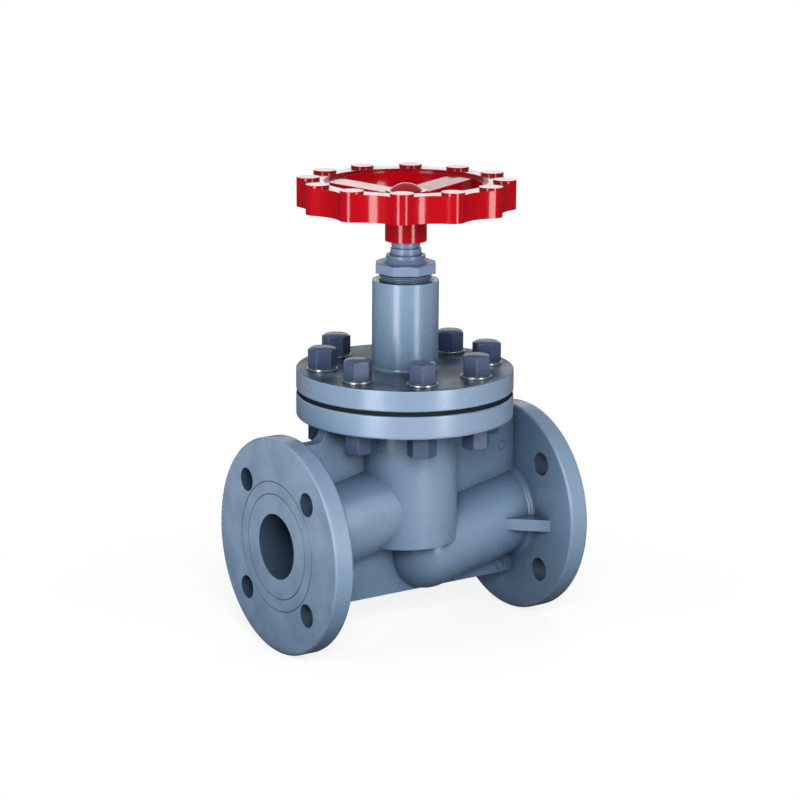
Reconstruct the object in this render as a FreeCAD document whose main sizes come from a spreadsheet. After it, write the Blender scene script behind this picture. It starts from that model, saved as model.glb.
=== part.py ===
import FreeCAD, Part
import math
import os
import re
import PartDesign
import Sketcher
from FreeCAD import Placement, Rotation, Vector

# Flanged plastic globe valve, nominal bore 50, with a rising stem and handwheel.
# Millimetres. Z is the stem axis, X the flow axis, and the end flanges stand on Z = 0.
# The valve is drawn closed.

SIZES = {
    # End flanges and flow bore
    "face_to_face": 230,
    "flange_dia": 165,
    "flange_thick": 16,
    "bore_dia": 50,
    "port_length": 19,
    "port_hole_inset": 22.5,
    "port_hole_dia": 18,
    "rim_fillet": 2,
    "face_groove_inset": 15,
    "face_groove_pitch": 9.5,
    "face_groove_width": 1,
    "face_groove_depth": 0.5,
    # Sloping legs and the ball end under the seat
    "leg_wall": 8,
    "leg_drop": 24.5,
    "leg_shift": 3.57,
    "leg_root_fillet": 4,
    "ball_reach": 18.6,
    "duct_end_reach": 16,
    # Seat and chamber
    "seat_bore": 42,
    "seat_wall": 7,
    "seat_clear": 2.2,
    "chamber_wall": 7,
    "chamber_drop": 9.3,
    "floor_thick": 6,
    # Body top flange and cover flange
    "joint_rise": 105,
    "body_flange_thick": 18,
    "gasket_thick": 3,
    "gasket_inset": 0.4,
    "cover_thick": 16,
    "cover_overhang": 41.5,
    # Webs and gussets
    "web_thick": 11,
    "web_drop": 52.5,
    "web_step": 11.5,
    "web_notch": 25,
    "web_notch_radius": 9,
    "gusset_thick": 9,
    "gusset_reach": 56,
    "gusset_run": 26,
    "neck_gusset_run": 21,
    "neck_gusset_drop": 14,
    "pin_mark_dia": 7,
    "pin_mark_rise": 0.4,
    "pin_mark_inset": 11,
    "pin_mark_high": 51.2,
    "pin_mark_low": 46.1,
    "joining_depth": 1,
    # Studs, nuts, washers and nut caps
    "stud_inset": 19,
    "stud_dia": 8,
    "stud_hole_gap": 0.5,
    "stud_end": 3.5,
    "washer_dia": 23.5,
    "washer_thick": 2,
    "washer_gap": 0.3,
    "nut_flats": 13,
    "nut_thick": 6.5,
    "nut_gap": 0.1,
    "cap_wall": 3,
    "cap_socket_gap": 0.15,
    "cap_room": 4.1,
    "cap_top": 2.2,
    "cap_round": 1.8,
    # Bonnet tower
    "tower_dia": 50.4,
    "tower_rise": 67.2,
    "tower_fillet": 2.5,
    "spigot_length": 7.5,
    "spigot_gap": 0.5,
    "boss_dia": 44,
    "boss_drop": 15.5,
    "packing_depth": 43.7,
    "guide_length": 6,
    "oring_section": 2.6,
    "oring_squeeze": 0.02,
    "packing_dia": 34,
    "packing_gap": 0.2,
    "packing_ring_thick": 5,
    "packing_washer_thick": 2,
    "follower_length": 6.7,
    # Gland nut
    "gland_thread_dia": 40,
    "gland_thread_depth": 1.2,
    "gland_neck": 6,
    "gland_flats": 45,
    "gland_nut_thick": 7.6,
    "collar_foot_dia": 37,
    "collar_flare": 2.4,
    "collar_flare_rise": 1.8,
    "collar_dia": 29.5,
    "collar_rise": 5.7,
    "collar_lip": 2.6,
    "gland_turn": 33.2,
    # Stem
    "stem_dia": 23.3,
    "stem_gap": 0.3,
    "stem_thread_dia": 30,
    "thread_gap": 0.25,
    "thread_length": 49,
    "thread_headroom": 21,
    "stem_neck_dia": 16,
    "stem_button_dia": 22,
    "stem_button_thick": 5,
    "stem_shoulder_gap": 3,
    "stem_top_dia": 21.8,
    "stem_top_length": 3.7,
    "stem_groove_width": 1.6,
    "stem_groove_depth": 0.6,
    "stem_show": 10.3,
    "drive_square": 15,
    "drive_relief": 0.3,
    "stem_tip_dia": 8,
    "stem_tip_end": 0.6,
    # Disc and its seal
    "disc_overhang": 2,
    "disc_room": 4,
    "disc_thick": 11.5,
    "seal_inset": 3,
    "seal_bore": 20,
    "seal_thick": 4,
    "seal_lip": 1,
    "plate_gap": 3,
    "plate_thick": 2.5,
    "screw_dia": 8,
    "screw_head_dia": 14,
    "screw_head": 4,
    "screw_chamfer": 1,
    "screw_length": 14,
    "screw_end_gap": 2,
    "disc_hub_dia": 36,
    "disc_socket_dia": 27,
    "disc_nut_thick": 6,
    "neck_gap": 0.4,
    # Handwheel
    "hub_dia": 31.4,
    "hub_length": 38.2,
    "hub_recess_dia": 22,
    "rim_rise": 6.9,
    "rim_height": 20.2,
    "rim_outer": 151,
    "rim_inner": 115,
    "ledge_width": 4,
    "ledge_drop": 2.4,
    "rim_wall": 3,
    "rim_roof": 4,
    "lobe_dia": 17.6,
    "lobe_inset": 2.2,
    "lobe_rise": 2,
    "lobe_fillet": 5,
    "spoke_width": 24,
    "spoke_depth": 9,
    "spoke_rise": 5.5,
    "wheel_turn": 8.3,
    # Wheel nut, washer and cap
    "wheel_washer_thick": 1.5,
    "wheel_nut_thick": 5,
    "wheel_cap_dia": 24.8,
    "wheel_cap_rise": 5.4,
    "wheel_cap_skirt": 3,
    "wheel_cap_room": 0.4,
}
STUDS = 8
PORT_HOLES = 4
LOBES = 12
SPOKES = 3
PACKING_RINGS = 3

doc = FreeCAD.newDocument("globe_valve")
sheet = doc.addObject("Spreadsheet::Sheet", "Sizes")
for row, (alias, size) in enumerate(SIZES.items(), start=1):
    sheet.set(f"A{row}", alias)
    sheet.set(f"B{row}", str(size))
    sheet.setAlias(f"B{row}", alias)
doc.recompute()


def spell_out(expression):
    """Turn the sizes named in an expression into references to the sheet's cells."""
    return re.sub(r"[a-z]\w*", lambda word: f"Sizes.{word[0]}" if word[0] in SIZES else word[0], expression)


def value(expression):
    """The number that an expression gives now."""
    result = sheet.evalExpression(spell_out(expression))
    return getattr(result, "Value", result)


def bind(thing, **properties):
    """Bind properties of an object to expressions of the sheet's sizes."""
    for name, expression in properties.items():
        thing.setExpression(name, spell_out(str(expression)))


def place(thing, x="0", y="0", z="0", axis=(0, 0, 1), angle="0"):
    """Bind an object's position, and turn it by an angle in degrees about an axis."""
    thing.Placement = Placement(Vector(value(x), value(y), value(z)), Rotation(Vector(*axis), value(angle)))
    for name, expression in (("x", x), ("y", y), ("z", z)):
        thing.setExpression(f"Placement.Base.{name}", spell_out(expression))
    thing.setExpression("Placement.Rotation.Angle", spell_out(angle))


def new_body(label):
    body = doc.addObject("PartDesign::Body", label)
    body.Label = label
    body.AllowCompound = True
    return body


def origin_part(body, role):
    """One of the body's own origin planes or axes."""
    return next(feature for feature in body.Origin.OriginFeatures if feature.Role == role)


def new_sketch(body, name, role, lift="0"):
    """A sketch on one of the body's origin planes, moved along that plane's normal."""
    sketch = body.newObject("Sketcher::SketchObject", name)
    sketch.AttachmentSupport = [(origin_part(body, role), "")]
    sketch.MapMode = "FlatFace"
    sketch.setExpression("AttachmentOffset.Base.z", spell_out(lift))
    return sketch


def fix_point(sketch, line, end, x, y):
    """Hold a point of a sketch at two bound distances from the origin."""
    for kind, expression, axis in (("DistanceX", x, -2), ("DistanceY", y, -1)):
        if expression == "0":
            sketch.addConstraint(Sketcher.Constraint("PointOnObject", line, end, axis))
            continue
        index = sketch.addConstraint(Sketcher.Constraint(kind, -1, 1, line, end, value(expression)))
        sketch.setExpression(f"Constraints[{index}]", spell_out(expression))


def outline(sketch, corners):
    """A closed outline of straight lines through corners given as pairs of expressions."""
    points = [Vector(value(x), value(y), 0) for x, y in corners]
    first = sketch.GeometryCount
    for start, end in zip(points, points[1:] + points[:1]):
        sketch.addGeometry(Part.LineSegment(start, end))
    for number, (x, y) in enumerate(corners):
        after = first + (number + 1) % len(corners)
        sketch.addConstraint(Sketcher.Constraint("Coincident", first + number, 2, after, 1))
    for number, (x, y) in enumerate(corners):
        fix_point(sketch, first + number, 1, x, y)


def circle(sketch, diameter, x="0", y="0"):
    middle = Vector(value(x), value(y), 0)
    ring = sketch.addGeometry(Part.Circle(middle, Vector(0, 0, 1), value(diameter) / 2))
    index = sketch.addConstraint(Sketcher.Constraint("Diameter", ring, value(diameter)))
    sketch.setExpression(f"Constraints[{index}]", spell_out(diameter))
    fix_point(sketch, ring, 3, x, y)


def polygon(sketch, sides, flats, x="0", turn="0"):
    """A regular polygon by its width across flats, its first corner turned from the X axis."""
    reach = f"({flats}) / 2 / cos({180 / sides}deg)"
    corners = []
    for number in range(sides):
        at = f"({turn} + {360 / sides * number}) * 1deg"
        corners.append((f"{x} + {reach} * cos({at})", f"{reach} * sin({at})"))
    outline(sketch, corners)


def turned(label, corners, body=None):
    """A piece turned about the stem axis from corners of radius and height."""
    body = body or new_body(label)
    sketch = new_sketch(body, f"{label}_section", "XZ_Plane")
    outline(sketch, corners)
    feature = body.newObject("PartDesign::Revolution", f"{label}_turned")
    feature.Profile = sketch
    feature.ReferenceAxis = (sketch, ["V_Axis"])
    feature.Angle = 360
    doc.recompute()
    return body


def pad(body, name, sketch, length, cut=False, both_ways=False, down=False):
    """Raise a sketch into a solid, or cut with it, by a bound length."""
    feature = body.newObject("PartDesign::Pocket" if cut else "PartDesign::Pad", name)
    feature.Profile = sketch
    bind(feature, Length=length)
    feature.Midplane = both_ways
    feature.Reversed = down
    doc.recompute()
    return feature


def pattern(body, name, features, count, axis, whole=False):
    """Repeat features of a body in a full ring about one of its axes."""
    ring = body.newObject("PartDesign::PolarPattern", name)
    if whole:
        ring.TransformMode = "Whole shape"
    else:
        ring.Originals = features
    ring.Axis = axis
    ring.Angle = 360
    ring.Occurrences = count
    body.Tip = ring
    doc.recompute()
    return ring


def soften(body, name, radius, wanted):
    """Round the edges of a body that a test picks out."""
    base = body.Tip
    names = [f"Edge{number}" for number, edge in enumerate(base.Shape.Edges, start=1) if wanted(edge)]
    feature = body.newObject("PartDesign::Fillet", name)
    feature.Base = (base, names)
    bind(feature, Radius=radius)
    doc.recompute()
    return feature


def is_ring(edge, radius, axis, places, height="0"):
    """Whether an edge runs round an axis, X or Z, at that radius and one of those places."""
    if edge.Degenerated:
        return False
    for point in edge.discretize(4):
        if axis == "X":
            place, reach = point.x, math.hypot(point.y, point.z - value(height))
        else:
            place, reach = point.z, math.hypot(point.x, point.y)
        if abs(reach - radius) > 0.01 or min(abs(place - wanted) for wanted in places) > 0.01:
            return False
    return True


def is_straight(edge, axis, length):
    """Whether an edge runs straight along an axis, X, Y or Z, for just that length."""
    span = getattr(edge.BoundBox, f"{axis}Length")
    return abs(edge.Length - length) < 0.01 and abs(span - length) < 0.01


def round_bar(body, name, diameter, length, cut=False, **where):
    """A cylinder added to a body or cut from it, along its own turned Z axis."""
    kind = "SubtractiveCylinder" if cut else "AdditiveCylinder"
    bar = body.newObject(f"PartDesign::{kind}", name)
    bind(bar, Radius=f"({diameter}) / 2", Height=length)
    place(bar, **where)
    doc.recompute()
    return bar


def ball(body, name, diameter, cut=False, **where):
    kind = "SubtractiveSphere" if cut else "AdditiveSphere"
    sphere = body.newObject(f"PartDesign::{kind}", name)
    bind(sphere, Radius=f"({diameter}) / 2")
    place(sphere, **where)
    doc.recompute()
    return sphere


# Widths that follow from the seat outwards, and heights that follow from the flow axis upwards
PORT_CIRCLE = "(flange_dia - 2 * port_hole_inset)"
LEG_DIA = "(bore_dia + 2 * leg_wall)"
SEAT_DIA = "(seat_bore + 2 * seat_wall)"
DISC_DIA = f"({SEAT_DIA} + 2 * disc_overhang)"
SEAL_DIA = f"({DISC_DIA} - 2 * seal_inset)"
PLATE_DIA = "(seat_bore - 2 * plate_gap)"
CHAMBER_BORE = f"({DISC_DIA} + 2 * disc_room)"
CHAMBER_DIA = f"({CHAMBER_BORE} + 2 * chamber_wall)"
COVER_DIA = f"({CHAMBER_DIA} + 2 * cover_overhang)"
STUD_CIRCLE = f"({COVER_DIA} - 2 * stud_inset)"
LOBE_CIRCLE = "(rim_outer - 2 * lobe_inset)"
FLANGE_BACK = "(face_to_face / 2 - flange_thick)"
ELBOW = "(face_to_face / 2 - port_length)"
FLOW = "(flange_dia / 2)"
LEG_RISE = f"((leg_drop - leg_shift) / {ELBOW})"
LEG_SLOPE = f"atan({LEG_RISE})"
LEG_TOP = f"({FLOW} - leg_drop + {DISC_DIA} / 2 * {LEG_RISE} + {LEG_DIA} / 2 / cos({LEG_SLOPE}))"
BALL_HEIGHT = f"({FLOW} - leg_drop + ball_reach * {LEG_RISE})"
CHAMBER_BOTTOM = f"({FLOW} - chamber_drop)"
CHAMBER_FLOOR = f"({CHAMBER_BOTTOM} + floor_thick)"
SEAT = f"({LEG_TOP} + seat_clear)"
JOINT = f"({FLOW} + joint_rise)"
BODY_FLANGE_BOTTOM = f"({JOINT} - body_flange_thick)"
COVER_BOTTOM = f"({JOINT} + gasket_thick)"
COVER_TOP = f"({COVER_BOTTOM} + cover_thick)"
UPPER_SEAT = f"({COVER_TOP} + washer_thick)"
LOWER_SEAT = f"({BODY_FLANGE_BOTTOM} - washer_thick)"
DISC_HEAD = f"({SEAT} + seal_thick)"
SOCKET_FLOOR = f"({DISC_HEAD} + disc_thick)"
BUTTON_BOTTOM = f"({SOCKET_FLOOR} + neck_gap / 2)"
BUTTON_TOP = f"({BUTTON_BOTTOM} + stem_button_thick)"
DISC_NUT_BOTTOM = f"({BUTTON_TOP} + 2 * neck_gap)"
DISC_TOP = f"({DISC_NUT_BOTTOM} + disc_nut_thick)"
TOWER_TOP = f"({COVER_TOP} + tower_rise)"
THREAD_ROOF = f"({TOWER_TOP} - packing_depth)"
ORING_HEIGHT = f"({THREAD_ROOF} + guide_length / 2)"
PACKING_FLOOR = f"({THREAD_ROOF} + guide_length)"
PACKING_START = f"({PACKING_FLOOR} + packing_washer_thick)"
FOLLOWER_START = f"({PACKING_START} + {PACKING_RINGS} * packing_ring_thick)"
GLAND_END = f"({FOLLOWER_START} + follower_length)"
GLAND_BASE = f"({TOWER_TOP} + gland_neck)"
GLAND_TOP = f"({GLAND_BASE} + gland_nut_thick)"
COLLAR_TOP = f"({GLAND_TOP} + collar_rise)"
HUB_BOTTOM = f"({COLLAR_TOP} + stem_show)"
HUB_TOP = f"({HUB_BOTTOM} + hub_length)"
RIM_TOP = f"({HUB_TOP} + rim_rise)"
RIM_BOTTOM = f"({RIM_TOP} - rim_height)"
HUB_RECESS = "(wheel_washer_thick + wheel_nut_thick + stem_tip_end + wheel_cap_room + wheel_cap_skirt)"


def leg(body, side):
    """One sloping leg, from the middle of its end flange to the ball end or into the chamber."""
    name = "inlet_leg" if side > 0 else "outlet_leg"
    height = f"{FLOW} - {side} * (leg_drop - ball_reach * {LEG_RISE})"
    length = f"(face_to_face / 2 + {LEG_DIA} / 2 - ball_reach) / cos({LEG_SLOPE})"
    round_bar(body, name, LEG_DIA, length, x=f"{side} * ball_reach", z=height,
              axis=(0, 1, 0), angle=f"{90 * side}deg - {LEG_SLOPE}")
    round_bar(body, f"{name}_end", "flange_dia", f"flange_thick / 2 + {LEG_DIA}", cut=True,
              x=f"{side} * ({FLANGE_BACK} + flange_thick / 2)", z=FLOW, axis=(0, 1, 0), angle=str(90 * side))


def end_flange(body, side):
    """One end flange, with a fillet where its leg runs into it."""
    name = "inlet_flange" if side > 0 else "outlet_flange"
    round_bar(body, name, "flange_dia", "flange_thick", x=f"{side} * {FLANGE_BACK}",
              z=FLOW, axis=(0, 1, 0), angle=str(90 * side))
    back = side * value(FLANGE_BACK)
    reach = value(LEG_DIA) / 2

    def leg_root(edge):
        box = edge.BoundBox
        return abs(box.XMin - back) < 0.01 and box.XLength < 0.01 and abs(box.YLength - 2 * reach) < 0.5

    soften(body, f"{name}_root", "leg_root_fillet", leg_root)


def duct(body, side):
    """The flow bore of one side: straight through the flange, then along the sloping leg."""
    name = "inlet" if side > 0 else "outlet"
    reach = "duct_end_reach" if side > 0 else f"({CHAMBER_BORE} / 2 - chamber_wall)"
    run = f"({ELBOW} - {reach}) / cos({LEG_SLOPE})"
    end_height = f"{FLOW} - {side} * ({ELBOW} - {reach}) * {LEG_RISE}"
    turn = f"{90 * side}deg - {LEG_SLOPE}"
    round_bar(body, f"{name}_port", "bore_dia", "port_length", cut=True,
              x=f"{side} * {ELBOW}", z=FLOW, axis=(0, 1, 0), angle=str(90 * side))
    ball(body, f"{name}_elbow", "bore_dia", cut=True, x=f"{side} * {ELBOW}", z=FLOW)
    round_bar(body, f"{name}_duct", "bore_dia", run, cut=True,
              x=f"{side} * {reach}", z=end_height, axis=(0, 1, 0), angle=turn)
    if side > 0:
        ball(body, f"{name}_ball", "bore_dia", cut=True, x=reach, z=end_height)


def add_web(body):
    """The flat web along the middle of the body, round the chamber and notched beside each end flange."""
    sketch = new_sketch(body, "web_outline", "XZ_Plane")
    end = f"({FLANGE_BACK} + flange_thick / 2)"
    step = f"({FLANGE_BACK} - web_notch)"
    low = f"({FLOW} - web_drop)"
    shoulder = f"({BODY_FLANGE_BOTTOM} - web_step)"
    top = f"({BODY_FLANGE_BOTTOM} + joining_depth)"
    wall = f"({CHAMBER_DIA} / 2 - chamber_wall / 2)"
    under = f"({CHAMBER_BOTTOM} + floor_thick / 2)"
    outline(sketch, [
        (f"-{end}", low), (end, low), (end, shoulder), (step, shoulder), (step, top), (wall, top),
        (wall, under), (f"-{wall}", under), (f"-{wall}", top), (f"-{step}", top), (f"-{step}", shoulder),
        (f"-{end}", shoulder)])
    pad(body, "web", sketch, "web_thick", both_ways=True)
    step_x = value(step)
    height = value(shoulder)

    def inner_corner(edge):
        if not is_straight(edge, "Y", value("web_thick")):
            return False
        middle = edge.CenterOfMass
        return abs(abs(middle.x) - step_x) < 0.01 and abs(middle.z - height) < 0.01

    soften(body, "web_corners", "web_notch_radius", inner_corner)


def add_gussets(body):
    """Flat gussets behind the end flanges, and small ones under the body flange."""
    for side in (1, -1):
        name = "inlet_gusset" if side > 0 else "outlet_gusset"
        axis_drop = f"(leg_drop - ({FLANGE_BACK} - gusset_run / 4) * {LEG_RISE})"
        wide = "gusset_reach"
        narrow = f"({LEG_DIA} / 2 - joining_depth)"
        sunk = f"{side} * ({FLANGE_BACK} + joining_depth)"
        back = f"{side} * {FLANGE_BACK}"
        tip = f"{side} * ({FLANGE_BACK} - gusset_run)"
        sketch = new_sketch(body, f"{name}_plan", "XY_Plane", lift=f"{FLOW} - {side} * {axis_drop}")
        outline(sketch, [
            (sunk, f"-{wide}"), (back, f"-{wide}"), (tip, f"-{narrow}"),
            (tip, narrow), (back, wide), (sunk, wide)])
        pad(body, name, sketch, "gusset_thick", both_ways=True)
    sketch = new_sketch(body, "neck_gusset_side", "YZ_Plane")
    foot = f"({CHAMBER_DIA} / 2 - 2 * joining_depth)"
    tip = f"({CHAMBER_DIA} / 2 + neck_gusset_run)"
    top = f"({BODY_FLANGE_BOTTOM} + joining_depth)"
    low = f"({BODY_FLANGE_BOTTOM} - neck_gusset_drop)"
    outline(sketch, [(f"-{foot}", top), (f"-{foot}", low), (f"-{tip}", BODY_FLANGE_BOTTOM), (f"-{tip}", top)])
    outline(sketch, [(foot, top), (tip, top), (tip, BODY_FLANGE_BOTTOM), (foot, low)])
    pad(body, "neck_gussets", sketch, "gusset_thick", both_ways=True)


def add_pin_marks(body):
    """Two low round pads on the web, where pins pushed the moulding out of its mould."""
    sketch = new_sketch(body, "pin_marks_plan", "XZ_Plane", lift="web_thick / 2 - joining_depth")
    across = f"({FLANGE_BACK} - pin_mark_inset)"
    circle(sketch, "pin_mark_dia", across, f"{FLOW} + pin_mark_high")
    circle(sketch, "pin_mark_dia", across, f"{FLOW} - pin_mark_low")
    pad(body, "pin_marks", sketch, "joining_depth + pin_mark_rise")


def face_grooves(body, side):
    """Two fine rings turned into the face of one end flange, outside its bore."""
    name = "inlet" if side > 0 else "outlet"
    sketch = new_sketch(body, f"{name}_groove_section", "XZ_Plane")
    face = "face_to_face / 2"
    for number in (0, 1):
        middle = f"({FLOW} + bore_dia / 2 + face_groove_inset + {number} * face_groove_pitch)"
        outline(sketch, [
            (f"{side} * ({face} + face_groove_depth)", f"{middle} - face_groove_width"),
            (f"{side} * ({face} - face_groove_depth)", middle),
            (f"{side} * ({face} + face_groove_depth)", f"{middle} + face_groove_width")])
    axis = sketch.addGeometry(Part.LineSegment(Vector(0, value(FLOW), 0), Vector(1, value(FLOW), 0)), True)
    fix_point(sketch, axis, 1, "0", FLOW)
    sketch.addConstraint(Sketcher.Constraint("Horizontal", axis))
    feature = body.newObject("PartDesign::Groove", f"{name}_face_grooves")
    feature.Profile = sketch
    feature.ReferenceAxis = (sketch, ["Axis0"])
    feature.Angle = 360
    doc.recompute()


def make_valve_body():
    """The moulded body: two flanged legs, the chamber between them and the seat inside."""
    body = new_body("valve_body")
    leg(body, -1)
    end_flange(body, -1)
    round_bar(body, "chamber_wall", CHAMBER_DIA, f"{BODY_FLANGE_BOTTOM} + joining_depth - {CHAMBER_BOTTOM}",
              z=CHAMBER_BOTTOM)
    round_bar(body, "body_flange", COVER_DIA, "body_flange_thick", z=BODY_FLANGE_BOTTOM)
    round_bar(body, "chamber_cavity", CHAMBER_BORE, f"{JOINT} - {CHAMBER_FLOOR}", cut=True, z=CHAMBER_FLOOR)
    leg(body, 1)
    end_flange(body, 1)
    ball(body, "ball_end", LEG_DIA, x="ball_reach", z=BALL_HEIGHT)
    add_web(body)
    add_gussets(body)
    add_pin_marks(body)
    round_bar(body, "seat_boss", SEAT_DIA, f"{SEAT} - {CHAMBER_FLOOR} + joining_depth",
              z=f"{CHAMBER_FLOOR} - joining_depth")
    duct(body, 1)
    duct(body, -1)
    round_bar(body, "seat_opening", "seat_bore", f"{SEAT} - {CHAMBER_FLOOR}", cut=True, z=CHAMBER_FLOOR)
    bolt_holes(body, 1)
    bolt_holes(body, -1)
    stud_holes(body, BODY_FLANGE_BOTTOM, "body_flange_thick")
    radius = value("flange_dia") / 2
    faces = [value("face_to_face") / 2, value(FLANGE_BACK)]
    levels = [value(JOINT), value(BODY_FLANGE_BOTTOM)]
    soften(body, "rim_edges", "rim_fillet",
           lambda edge: is_ring(edge, radius, "X", faces + [-place for place in faces], FLOW)
           or is_ring(edge, value(COVER_DIA) / 2, "Z", levels))
    face_grooves(body, 1)
    face_grooves(body, -1)
    return body


def bolt_holes(body, side):
    """Four through holes in one end flange, between the flange's axes."""
    name = "inlet_holes" if side > 0 else "outlet_holes"
    sketch = new_sketch(body, f"{name}_plan", "YZ_Plane", lift=f"{side} * {FLANGE_BACK}")
    for quarter in range(PORT_HOLES):
        angle = f"({180 / PORT_HOLES + 360 / PORT_HOLES * quarter}) * 1deg"
        circle(sketch, "port_hole_dia", f"{PORT_CIRCLE} / 2 * cos({angle})",
               f"{FLOW} + {PORT_CIRCLE} / 2 * sin({angle})")
    pad(body, name, sketch, "flange_thick", cut=True, down=side > 0)


def stud_holes(body, bottom, depth):
    """The ring of stud holes through one flange."""
    half_step = f"{180 / STUDS}deg"
    sketch = new_sketch(body, f"{body.Name}_stud_hole", "XY_Plane", lift=f"{bottom} + {depth}")
    circle(sketch, "stud_dia + 2 * stud_hole_gap", f"{STUD_CIRCLE} / 2 * cos({half_step})",
           f"{STUD_CIRCLE} / 2 * sin({half_step})")
    hole = pad(body, f"{body.Name}_stud_hole_cut", sketch, depth, cut=True)
    pattern(body, f"{body.Name}_stud_holes", [hole], STUDS, (sketch, ["N_Axis"]))


def make_bonnet():
    """The bonnet: cover flange, spigot, stem thread and the tower that holds the packing."""
    thread_bore = "stem_thread_dia / 2 + thread_gap"
    stem_bore = "stem_dia / 2 + stem_gap"
    gland_bore = "gland_thread_dia / 2 + packing_gap"
    gland_floor = f"{GLAND_END} - joining_depth"
    spigot = f"{CHAMBER_BORE} / 2 - spigot_gap"
    spigot_end = f"{JOINT} - spigot_length"
    boss_end = f"{JOINT} - boss_drop"
    groove = "stem_dia / 2 + packing_gap + oring_section"
    groove_low = f"{ORING_HEIGHT} - oring_section / 2"
    groove_high = f"{ORING_HEIGHT} + oring_section / 2"
    body = turned("bonnet", [
        (thread_bore, boss_end), ("boss_dia / 2", boss_end), ("boss_dia / 2", spigot_end),
        (spigot, spigot_end), (spigot, COVER_BOTTOM), (f"{COVER_DIA} / 2", COVER_BOTTOM),
        (f"{COVER_DIA} / 2", COVER_TOP), ("tower_dia / 2", COVER_TOP), ("tower_dia / 2", TOWER_TOP),
        (gland_bore, TOWER_TOP), (gland_bore, gland_floor), ("packing_dia / 2", gland_floor),
        ("packing_dia / 2", PACKING_FLOOR), (stem_bore, PACKING_FLOOR), (stem_bore, groove_high),
        (groove, groove_high), (groove, groove_low), (stem_bore, groove_low), (stem_bore, THREAD_ROOF),
        (thread_bore, THREAD_ROOF)])
    stud_holes(body, COVER_BOTTOM, "cover_thick")
    foot = value(COVER_TOP)
    tower = value("tower_dia") / 2
    soften(body, "tower_foot", "tower_fillet", lambda edge: is_ring(edge, tower, "Z", [foot]))
    soften(body, "cover_edges", "rim_fillet / 2",
           lambda edge: is_ring(edge, value(COVER_DIA) / 2, "Z", [foot, value(COVER_BOTTOM)]))
    return body


def make_bonnet_gasket():
    """The full-face rubber gasket between body and bonnet."""
    body = new_body("bonnet_gasket")
    sketch = new_sketch(body, "gasket_plan", "XY_Plane", lift=JOINT)
    circle(sketch, f"{COVER_DIA} - 2 * gasket_inset")
    circle(sketch, CHAMBER_BORE)
    pad(body, "gasket", sketch, "gasket_thick")
    stud_holes(body, JOINT, "gasket_thick")
    return body


def ring_of(body, name):
    """Repeat the one piece in a body at every stud, and turn the ring half a step."""
    pattern(body, name, None, STUDS, (origin_part(body, "Z_Axis"), [""]), whole=True)
    body.Placement = Placement(Vector(), Rotation(Vector(0, 0, 1), 180 / STUDS))


def make_bonnet_studs():
    """Plain studs through both flanges, with a nut at each end."""
    body = new_body("bonnet_studs")
    low = f"({LOWER_SEAT} - nut_thick - stud_end)"
    high = f"({UPPER_SEAT} + nut_thick + stud_end)"
    sketch = new_sketch(body, "stud_plan", "XY_Plane", lift=low)
    circle(sketch, "stud_dia", f"{STUD_CIRCLE} / 2")
    pad(body, "stud", sketch, f"{high} - {low}")
    ring_of(body, "studs")
    return body


def make_stud_washers(label, bottom):
    body = new_body(label)
    sketch = new_sketch(body, f"{label}_plan", "XY_Plane", lift=bottom)
    circle(sketch, "washer_dia", f"{STUD_CIRCLE} / 2")
    circle(sketch, "stud_dia + 2 * washer_gap", f"{STUD_CIRCLE} / 2")
    pad(body, f"{label}_disc", sketch, "washer_thick")
    ring_of(body, f"{label}_ring")
    return body


def make_stud_nuts(label, bottom):
    body = new_body(label)
    sketch = new_sketch(body, f"{label}_plan", "XY_Plane", lift=bottom)
    polygon(sketch, 6, "nut_flats", f"{STUD_CIRCLE} / 2")
    circle(sketch, "stud_dia + 2 * nut_gap", f"{STUD_CIRCLE} / 2")
    pad(body, f"{label}_nut", sketch, "nut_thick")
    ring_of(body, f"{label}_ring")
    return body


def make_nut_caps(label, seat, up):
    """Tall hexagonal plastic caps over the nuts, rounded at the closed end."""
    body = new_body(label)
    socket_depth = "(nut_thick + stud_end + cap_room)"
    height = f"({socket_depth} + cap_top)"
    socket = "(nut_flats + 2 * cap_socket_gap)"
    outside = new_sketch(body, f"{label}_outside", "XY_Plane", lift=seat)
    polygon(outside, 6, f"{socket} + 2 * cap_wall", f"{STUD_CIRCLE} / 2")
    pad(body, f"{label}_shell", outside, height, down=not up)
    closed_end = value(f"{seat} + {height}" if up else f"{seat} - {height}")
    soften(body, f"{label}_round", "cap_round",
           lambda edge: abs(edge.CenterOfMass.z - closed_end) < 0.01)
    inside = new_sketch(body, f"{label}_inside", "XY_Plane", lift=seat)
    polygon(inside, 6, socket, f"{STUD_CIRCLE} / 2")
    pad(body, f"{label}_socket", inside, socket_depth, cut=True, down=up)
    ring_of(body, f"{label}_ring")
    return body


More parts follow.
